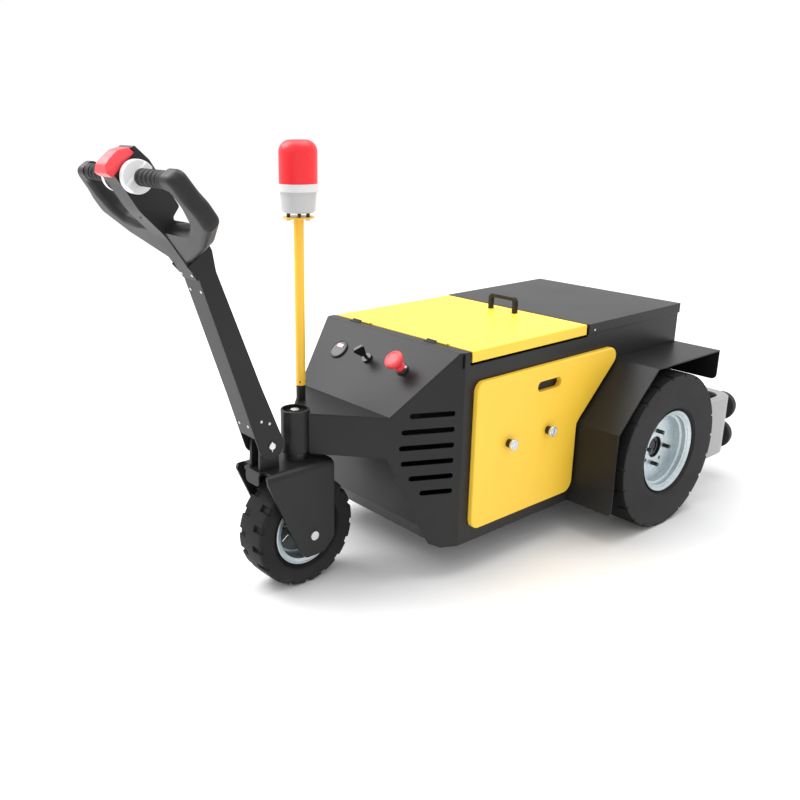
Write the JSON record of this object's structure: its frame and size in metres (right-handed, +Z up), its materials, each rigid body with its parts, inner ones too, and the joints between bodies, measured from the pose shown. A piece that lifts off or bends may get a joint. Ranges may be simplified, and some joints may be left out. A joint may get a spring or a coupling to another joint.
{
  "type": "electric trailer tug with a steering tiller",
  "caption": "Walk-behind battery tow tractor with a tiller, a steered front wheel, driven rear wheels under mudguards, a hinged lid, a beacon on a pole and a rear bumper with a pin hitch.",
  "frame": {"origin": "on the ground, under the middle of the whole machine", "axes": "+Z up, -Y the way the tiller and the steered wheel point, +Y the hitch end, +X the machine's left side"},
  "size_m": [0.7596, 1.7898, 0.973],
  "materials": {
    "body_black": "satin, fine texture",
    "lid_yellow": "satin",
    "panel_yellow": "satin",
    "pole_yellow": "satin",
    "galvanised": "galvanised",
    "bright_steel": "bright",
    "tyre_rubber": "matte",
    "buffer_rubber": "matte",
    "grip_rubber": "ribbed",
    "head_plastic": "satin",
    "white_plastic": "gloss",
    "red_plastic": "gloss",
    "red_lens": "gloss",
    "black_plastic": "gloss",
    "cast_drive": "painted",
    "battery_case": "matte"
  },
  "bodies": {
    "chassis": {"battery": "battery_case", "battery_gauge": "black_plastic", "beacon_base": "white_plastic", "beacon_lens": "red_lens", "beacon_pole": "pole_yellow", "body_side_left": "body_black", "body_side_right": "body_black", "chin_plate": "body_black", "floor_pan": "body_black", "key_switch": "black_plastic", "lid_hinges": "body_black", "lid_rim": "body_black", "mudguard_left": "body_black", "mudguard_right": "body_black", "nose_top": "body_black", "panel_knobs": "bright_steel", "rear_axle": "cast_drive", "rear_bumper": "galvanised", "rear_cover": "body_black", "rubber_buffers": "buffer_rubber", "side_panel_left": "panel_yellow", "side_panel_right": "panel_yellow", "steering_tube": "body_black", "stop_button": "red_plastic", "tow_jaw": "body_black", "tow_pin": "bright_steel"},
    "lid": {"lid": "lid_yellow", "lid_handle": "body_black"},
    "steering": {"steering_spindle": "bright_steel", "fork": "body_black", "front_axle": "bright_steel", "tiller_ears": "body_black"},
    "wheel_front": {"front_tyre": "tyre_rubber", "front_rim": "galvanised"},
    "wheel_rear_left": {"rear_tyre_left": "tyre_rubber", "rear_rim_left": "galvanised"},
    "wheel_rear_right": {"rear_tyre_right": "tyre_rubber", "rear_rim_right": "galvanised"},
    "tiller": {"tiller_arm": "body_black", "arm_cover": "body_black", "tiller_pivot": "bright_steel", "tiller_head": "head_plastic", "grips": "grip_rubber", "thumb_discs": "white_plastic", "belly_button": "red_plastic"}
  },
  "joints": [
    {"name": "steering_turn", "type": "hinge", "parent": "chassis", "child": "steering", "pos_m": [0, -0.48907, 0.35], "axis": [0, 0, 1], "range_deg": [-90, 90]},
    {"name": "front_wheel_spin", "type": "hinge", "parent": "steering", "child": "wheel_front", "pos_m": [0, -0.48907, 0.13], "axis": [1, 0, 0], "continuous": true},
    {"name": "rear_wheel_left_spin", "type": "hinge", "parent": "chassis", "child": "wheel_rear_left", "pos_m": [0.329, 0.41193, 0.204], "axis": [1, 0, 0], "continuous": true},
    {"name": "rear_wheel_right_spin", "type": "hinge", "parent": "chassis", "child": "wheel_rear_right", "pos_m": [-0.329, 0.41193, 0.204], "axis": [1, 0, 0], "continuous": true},
    {"name": "lid_hinge", "type": "hinge", "parent": "chassis", "child": "lid", "pos_m": [0, -0.18807, 0.5384], "axis": [1, 0, 0], "range_deg": [0, 85]},
    {"name": "tiller_tilt", "type": "hinge", "parent": "steering", "child": "tiller", "pos_m": [0, -0.57307, 0.352], "axis": [1, 0, 0], "range_deg": [0, 60]}
  ]
}
